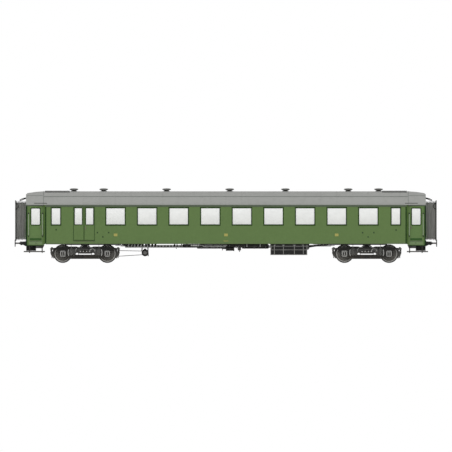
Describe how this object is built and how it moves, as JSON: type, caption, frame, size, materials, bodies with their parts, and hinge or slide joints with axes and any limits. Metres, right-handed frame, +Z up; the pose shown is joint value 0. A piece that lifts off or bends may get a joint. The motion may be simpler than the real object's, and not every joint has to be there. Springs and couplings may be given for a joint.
{
  "type": "railway passenger coach",
  "caption": "Bogie passenger coach with recessed end doors, large saloon windows, double luggage doors, arched roof with vents, and bellows gangways.",
  "frame": {"origin": "on the ground under the middle of the coach, at the lowest point of the wheel flanges", "axes": "+X along the coach towards the end away from the luggage doors, +Y to its left, +Z up"},
  "size_m": [23.7, 2.94, 4.1868],
  "materials": {
    "body_green": "satin olive green paint",
    "trim_green": "satin dark green paint",
    "roof_paint": "matt grey paint",
    "dark_metal": "matt dark grey paint",
    "window_glass": "clear, slightly milky",
    "interior_wood": "varnished",
    "floor_covering": "brown sheet floor covering",
    "rack_metal": "brushed",
    "frame_black": "matt black paint, dusty",
    "step_metal": "worn black paint",
    "buffer_steel": "worn black paint, greased face",
    "bellows_fabric": "grey proofed cloth",
    "gangway_steel": "worn grey paint",
    "rail_metal": "light grey-green paint",
    "belt_fabric": "matt",
    "bogie_black": "matt black paint, dusty",
    "spring_steel": "oily black paint",
    "axle_box_grey": "painted grey, dusty",
    "wheel_steel": "running tread bright, web dull"
  },
  "bodies": {
    "coach_body": {"underframe": "frame_black", "body_bolsters": "frame_black", "headstocks": "frame_black", "truss_beams": "frame_black", "floor": "floor_covering", "side_walls": "body_green", "vestibule_sides": "body_green", "end_walls": "body_green", "roof": "roof_paint", "cantrails": "trim_green", "roof_vents": "dark_metal", "roof_walkways": "dark_metal", "window_frames": "trim_green", "window_glass": "window_glass", "partitions": "interior_wood", "benches": "interior_wood", "luggage_racks": "rack_metal", "battery_boxes": "frame_black", "dynamo": "frame_black", "dynamo_belt": "belt_fabric", "air_brake_equipment": "frame_black", "door_steps": "step_metal", "buffers": "buffer_steel", "draw_hooks": "buffer_steel", "gangway_bellows": "bellows_fabric", "gangway_frames": "gangway_steel", "grab_rails": "rail_metal"},
    "front_bogie": {"front_bogie_frame": "bogie_black", "front_bogie_bolster": "bogie_black", "front_bogie_springs": "spring_steel", "front_axle_boxes": "axle_box_grey", "front_brake_gear": "bogie_black"},
    "rear_bogie": {"rear_bogie_frame": "bogie_black", "rear_bogie_bolster": "bogie_black", "rear_bogie_springs": "spring_steel", "rear_axle_boxes": "axle_box_grey", "rear_brake_gear": "bogie_black"},
    "front_outer_wheelset_body": {"front_outer_wheelset": "wheel_steel"},
    "front_inner_wheelset_body": {"front_inner_wheelset": "wheel_steel"},
    "rear_inner_wheelset_body": {"rear_inner_wheelset": "wheel_steel"},
    "rear_outer_wheelset_body": {"rear_outer_wheelset": "wheel_steel"},
    "front_left_entrance": {"front_left_door": "body_green", "front_left_door_glass": "window_glass"},
    "front_right_entrance": {"front_right_door": "body_green", "front_right_door_glass": "window_glass"},
    "rear_left_entrance": {"rear_left_door": "body_green", "rear_left_door_glass": "window_glass"},
    "rear_right_entrance": {"rear_right_door": "body_green", "rear_right_door_glass": "window_glass"},
    "left_luggage_leaf_front": {"left_luggage_door_front": "body_green", "left_luggage_glass_front": "window_glass"},
    "left_luggage_leaf_rear": {"left_luggage_door_rear": "body_green", "left_luggage_glass_rear": "window_glass"},
    "right_luggage_leaf_front": {"right_luggage_door_front": "body_green", "right_luggage_glass_front": "window_glass"},
    "right_luggage_leaf_rear": {"right_luggage_door_rear": "body_green", "right_luggage_glass_rear": "window_glass"},
    "front_gangway_leaf": {"front_gangway_door": "body_green"},
    "rear_gangway_leaf": {"rear_gangway_door": "body_green"}
  },
  "joints": [
    {"name": "front_bogie_swivel", "type": "hinge", "parent": "coach_body", "child": "front_bogie", "pos_m": [7.9, 0, 0.9], "axis": [0, 0, 1], "range_deg": [-4, 4]},
    {"name": "rear_bogie_swivel", "type": "hinge", "parent": "coach_body", "child": "rear_bogie", "pos_m": [-7.9, 0, 0.9], "axis": [0, 0, 1], "range_deg": [-4, 4]},
    {"name": "front_outer_wheelset_spin", "type": "hinge", "parent": "front_bogie", "child": "front_outer_wheelset_body", "pos_m": [9.15, 0, 0.52], "axis": [0, 1, 0], "continuous": true},
    {"name": "front_inner_wheelset_spin", "type": "hinge", "parent": "front_bogie", "child": "front_inner_wheelset_body", "pos_m": [6.65, 0, 0.52], "axis": [0, 1, 0], "continuous": true},
    {"name": "rear_inner_wheelset_spin", "type": "hinge", "parent": "rear_bogie", "child": "rear_inner_wheelset_body", "pos_m": [-6.65, 0, 0.52], "axis": [0, 1, 0], "continuous": true},
    {"name": "rear_outer_wheelset_spin", "type": "hinge", "parent": "rear_bogie", "child": "rear_outer_wheelset_body", "pos_m": [-9.15, 0, 0.52], "axis": [0, 1, 0], "continuous": true},
    {"name": "front_left_door_hinge", "type": "hinge", "parent": "coach_body", "child": "front_left_entrance", "pos_m": [11.026, 1.226, 2.2], "axis": [0, 0, 1], "range_deg": [0, 90]},
    {"name": "front_right_door_hinge", "type": "hinge", "parent": "coach_body", "child": "front_right_entrance", "pos_m": [11.026, -1.226, 2.2], "axis": [0, 0, -1], "range_deg": [0, 90]},
    {"name": "rear_left_door_hinge", "type": "hinge", "parent": "coach_body", "child": "rear_left_entrance", "pos_m": [-11.026, 1.226, 2.2], "axis": [0, 0, -1], "range_deg": [0, 90]},
    {"name": "rear_right_door_hinge", "type": "hinge", "parent": "coach_body", "child": "rear_right_entrance", "pos_m": [-11.026, -1.226, 2.2], "axis": [0, 0, 1], "range_deg": [0, 90]},
    {"name": "left_luggage_hinge_front", "type": "hinge", "parent": "coach_body", "child": "left_luggage_leaf_front", "pos_m": [-7.366, 1.376, 2.2], "axis": [0, 0, 1], "range_deg": [0, 90]},
    {"name": "left_luggage_hinge_rear", "type": "hinge", "parent": "coach_body", "child": "left_luggage_leaf_rear", "pos_m": [-8.55, 1.376, 2.2], "axis": [0, 0, -1], "range_deg": [0, 90]},
    {"name": "right_luggage_hinge_front", "type": "hinge", "parent": "coach_body", "child": "right_luggage_leaf_front", "pos_m": [-7.366, -1.376, 2.2], "axis": [0, 0, -1], "range_deg": [0, 90]},
    {"name": "right_luggage_hinge_rear", "type": "hinge", "parent": "coach_body", "child": "right_luggage_leaf_rear", "pos_m": [-8.55, -1.376, 2.2], "axis": [0, 0, 1], "range_deg": [0, 90]},
    {"name": "front_gangway_slide", "type": "slide", "parent": "coach_body", "child": "front_gangway_leaf", "axis": [0, 1, 0], "range_m": [0, 0.7]},
    {"name": "rear_gangway_slide", "type": "slide", "parent": "coach_body", "child": "rear_gangway_leaf", "axis": [0, -1, 0], "range_m": [0, 0.7]}
  ]
}
